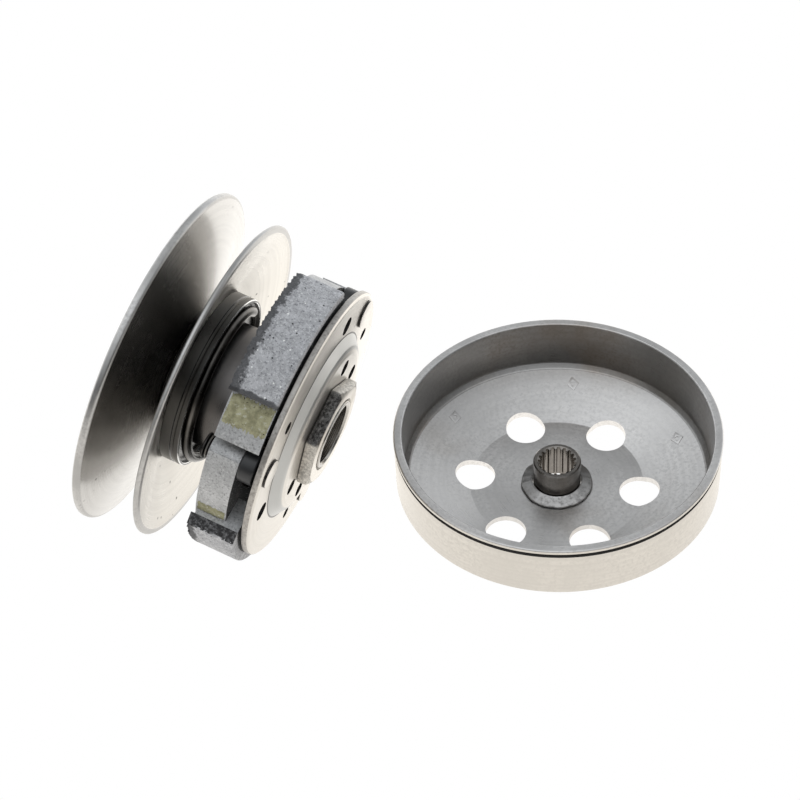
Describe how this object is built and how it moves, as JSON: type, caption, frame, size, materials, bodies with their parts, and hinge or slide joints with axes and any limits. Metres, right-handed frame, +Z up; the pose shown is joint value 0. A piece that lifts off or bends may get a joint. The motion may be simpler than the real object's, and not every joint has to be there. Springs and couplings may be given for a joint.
{
  "type": "cvt driven pulley and clutch set",
  "caption": "Scooter CVT driven pulley with two conical sheaves, torque cam, contra spring and three-shoe centrifugal clutch, lying beside its open clutch bell.",
  "frame": {"origin": "centre of the bounding box in plan, on the table plane under the two pieces", "axes": "+Z up from the table; +X from the pulley unit towards the clutch bell; +Y away from the front. The pulley unit's axis runs from the fixed sheave to the clutch nut along (0.876875, -0.420128, -0.233628)."},
  "size_m": [0.2186, 0.126, 0.1177],
  "materials": {
    "sheave_steel": "turned satin steel",
    "dark_steel": "black oxide, turned",
    "bearing_steel": "ground bright steel",
    "spring_steel": "oiled spring steel",
    "plate_steel": "pressed zinc-plated steel, satin",
    "nut_steel": "forged flats, machined face",
    "shoe_aluminium": "die-cast, matt",
    "lining": "moulded friction lining with metal specks",
    "black_rubber": "smooth moulded rubber",
    "bell_steel": "drawn and turned satin steel",
    "bell_hub_steel": "machined, dark"
  },
  "bodies": {
    "pulley_core": {"fixed_sheave": "sheave_steel", "sheave_tube": "bearing_steel", "carrier_plate": "plate_steel", "clutch_nut": "nut_steel", "pivot_pin_1": "dark_steel", "pivot_pin_2": "dark_steel", "pivot_pin_3": "dark_steel", "pivot_clip_1": "spring_steel", "pivot_clip_2": "spring_steel", "pivot_clip_3": "spring_steel", "damper_rubber_1": "black_rubber", "damper_rubber_2": "black_rubber", "damper_rubber_3": "black_rubber", "guide_pin_1": "bearing_steel", "guide_pin_2": "bearing_steel", "guide_pin_3": "bearing_steel", "guide_roller_1": "dark_steel", "guide_roller_2": "dark_steel", "guide_roller_3": "dark_steel", "ball_bearing_outer_ring": "bearing_steel", "bearing_circlip": "spring_steel", "needle_bearing_shell": "bearing_steel", "spring_end_washer": "bearing_steel"},
    "spring_seat": {"spring_seat_cup": "dark_steel", "seal_collar": "dark_steel", "contra_spring": "spring_steel"},
    "movable_sheave": {"movable_sheave": "sheave_steel", "cam_hub": "bearing_steel", "hub_oil_seal_1": "black_rubber", "hub_oil_seal_2": "black_rubber", "collar_o_ring_1": "black_rubber", "collar_o_ring_2": "black_rubber"},
    "shoe_1": {"shoe_arm_1": "shoe_aluminium", "shoe_lining_1": "lining", "return_spring_1": "spring_steel"},
    "shoe_2": {"shoe_arm_2": "shoe_aluminium", "shoe_lining_2": "lining", "return_spring_2": "spring_steel"},
    "shoe_3": {"shoe_arm_3": "shoe_aluminium", "shoe_lining_3": "lining", "return_spring_3": "spring_steel"},
    "bearing_inner": {"ball_bearing_inner_ring": "bearing_steel"},
    "ball_cage": {"ball_cage": "bearing_steel"},
    "needle_cage": {"needle_cage": "bearing_steel"},
    "bell": {"bell_drum": "bell_steel", "bell_outer_ring": "bell_steel", "bell_hub": "bell_hub_steel", "bell_hub_flange": "bell_steel"}
  },
  "joints": [
    {"name": "sheave_slide", "type": "slide", "parent": "pulley_core", "child": "spring_seat", "axis": [0.8769, -0.4201, -0.2336], "range_m": [0, 0.013], "deforming": ["contra_spring"]},
    {"name": "torque_cam_turn", "type": "hinge", "parent": "spring_seat", "child": "movable_sheave", "pos_m": [-0.0614, 0.0001, 0.05515], "axis": [0.8769, -0.4201, -0.2336], "range_deg": [0, 37.5]},
    {"name": "shoe_1_swing", "type": "hinge", "parent": "pulley_core", "child": "shoe_1", "pos_m": [-0.07459, -0.03573, 0.07008], "axis": [-0.8769, 0.4201, 0.2336], "range_deg": [0, 3]},
    {"name": "shoe_2_swing", "type": "hinge", "parent": "pulley_core", "child": "shoe_2", "pos_m": [-0.06749, 0.00934, 0.01567], "axis": [-0.8769, 0.4201, 0.2336], "range_deg": [0, 3]},
    {"name": "shoe_3_swing", "type": "hinge", "parent": "pulley_core", "child": "shoe_3", "pos_m": [-0.04212, 0.02669, 0.07969], "axis": [-0.8769, 0.4201, 0.2336], "range_deg": [0, 3]},
    {"name": "shaft_turn", "type": "hinge", "parent": "pulley_core", "child": "bearing_inner", "pos_m": [-0.0614, 0.0001, 0.05515], "axis": [0.8769, -0.4201, -0.2336], "continuous": true},
    {"name": "ball_cage_turn", "type": "hinge", "parent": "pulley_core", "child": "ball_cage", "pos_m": [-0.0614, 0.0001, 0.05515], "axis": [0.8769, -0.4201, -0.2336], "continuous": true},
    {"name": "needle_cage_turn", "type": "hinge", "parent": "pulley_core", "child": "needle_cage", "pos_m": [-0.0614, 0.0001, 0.05515], "axis": [0.8769, -0.4201, -0.2336], "continuous": true},
    {"name": "bell_spin", "type": "hinge", "parent": "pulley_core", "child": "bell", "pos_m": [0.054, -0.007, 0], "axis": [0, 0, 1], "continuous": true}
  ],
  "couplings": [
    {"joint": "torque_cam_turn", "follows": "sheave_slide", "rad_per_m": 50},
    {"joint": "shoe_2_swing", "follows": "shoe_1_swing", "ratio": 1},
    {"joint": "shoe_3_swing", "follows": "shoe_1_swing", "ratio": 1},
    {"joint": "ball_cage_turn", "follows": "shaft_turn", "ratio": 0.3935},
    {"joint": "needle_cage_turn", "follows": "shaft_turn", "ratio": 0.4386}
  ]
}
